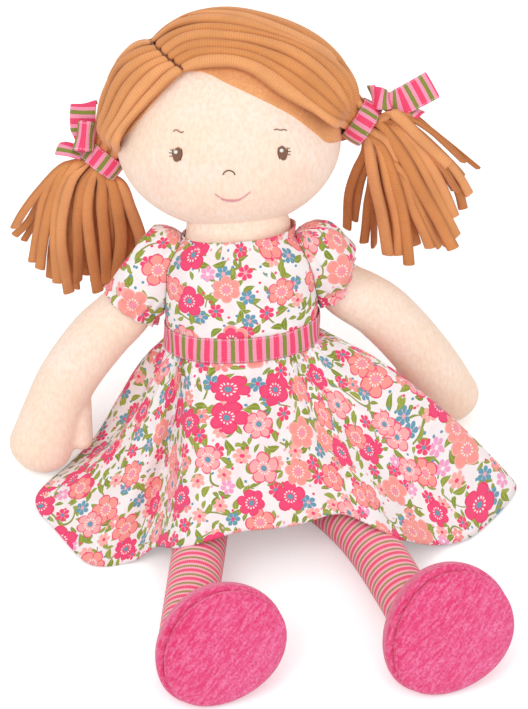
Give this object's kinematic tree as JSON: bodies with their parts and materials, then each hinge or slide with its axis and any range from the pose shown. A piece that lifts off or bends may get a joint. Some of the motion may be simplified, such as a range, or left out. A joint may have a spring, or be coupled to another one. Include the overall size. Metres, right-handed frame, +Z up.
{
  "type": "rag doll",
  "caption": "Soft stuffed doll seated with its legs forward, with bunches of jersey-strip hair, a gathered dress, striped legs and padded shoes.",
  "frame": {"origin": "on the floor under the hips, on the flat of the seat", "axes": "+Z up; the doll sits and faces -Y; +X is to the right of someone who looks at its face"},
  "size_m": [0.2658, 0.2958, 0.2341],
  "materials": {
    "velour": "short-nap velour, matt",
    "stuffing": "loose polyester fibre",
    "hair_felt": "felt, matt",
    "hair_jersey": "jersey strips, matt",
    "seam_thread": "stitched thread",
    "floral_cotton": "printed woven cotton",
    "striped_ribbon": "woven striped ribbon",
    "elastic": "covered elastic",
    "striped_knit": "striped knit",
    "shoe_velour": "brushed velour, matt"
  },
  "bodies": {
    "body": {"body_skin": "velour", "body_filling": "stuffing", "bodice": "floral_cotton", "waist_ribbon": "striped_ribbon", "skirt": "floral_cotton"},
    "head": {"head_skin": "velour", "head_filling": "stuffing", "hair_cap": "hair_felt", "parting_seam": "seam_thread", "hair_strips_left": "hair_jersey", "hair_ribbon_left": "striped_ribbon", "bow_left": "striped_ribbon", "hair_strips_right": "hair_jersey", "hair_ribbon_right": "striped_ribbon", "bow_right": "striped_ribbon"},
    "arm_left": {"arm_skin_left": "velour", "arm_filling_left": "stuffing", "sleeve_left": "floral_cotton", "sleeve_elastic_left": "elastic"},
    "leg_left": {"leg_skin_left": "striped_knit", "leg_filling_left": "stuffing", "shoe_upper_left": "shoe_velour", "shoe_sole_left": "shoe_velour", "shoe_filling_left": "stuffing"},
    "bunch_left": {"hair_bunch_left": "hair_jersey"},
    "arm_right": {"arm_skin_right": "velour", "arm_filling_right": "stuffing", "sleeve_right": "floral_cotton", "sleeve_elastic_right": "elastic"},
    "leg_right": {"leg_skin_right": "striped_knit", "leg_filling_right": "stuffing", "shoe_upper_right": "shoe_velour", "shoe_sole_right": "shoe_velour", "shoe_filling_right": "stuffing"},
    "bunch_right": {"hair_bunch_right": "hair_jersey"}
  },
  "joints": [
    {"name": "head_nod", "type": "hinge", "parent": "body", "child": "head", "pos_m": [-0.0006, 0.04376, 0.13003], "axis": [0.9994, 0, 0.0349], "range_deg": [-10, 25]},
    {"name": "arm_swing_left", "type": "hinge", "parent": "body", "child": "arm_left", "pos_m": [-0.04109, 0.0379, 0.1148], "axis": [0.9994, 0, 0.0349], "range_deg": [-120, 15]},
    {"name": "leg_swing_left", "type": "hinge", "parent": "body", "child": "leg_left", "pos_m": [-0.01667, -0.01691, 0.01719], "axis": [0.9994, 0, 0.0349], "range_deg": [-35, 64], "deforming": ["skirt"]},
    {"name": "bunch_swing_left", "type": "hinge", "parent": "head", "child": "bunch_left", "pos_m": [-0.08372, 0.06201, 0.14789], "axis": [0, 1, 0], "range_deg": [0, 40]},
    {"name": "arm_swing_right", "type": "hinge", "parent": "body", "child": "arm_right", "pos_m": [0.04086, 0.0379, 0.11767], "axis": [0.9994, 0, 0.0349], "range_deg": [-120, 15]},
    {"name": "leg_swing_right", "type": "hinge", "parent": "body", "child": "leg_right", "pos_m": [0.02331, -0.01691, 0.01859], "axis": [0.9994, 0, 0.0349], "range_deg": [-35, 64], "deforming": ["skirt"]},
    {"name": "bunch_swing_right", "type": "hinge", "parent": "head", "child": "bunch_right", "pos_m": [0.07495, 0.06695, 0.17053], "axis": [0, -1, 0], "range_deg": [0, 40]}
  ]
}
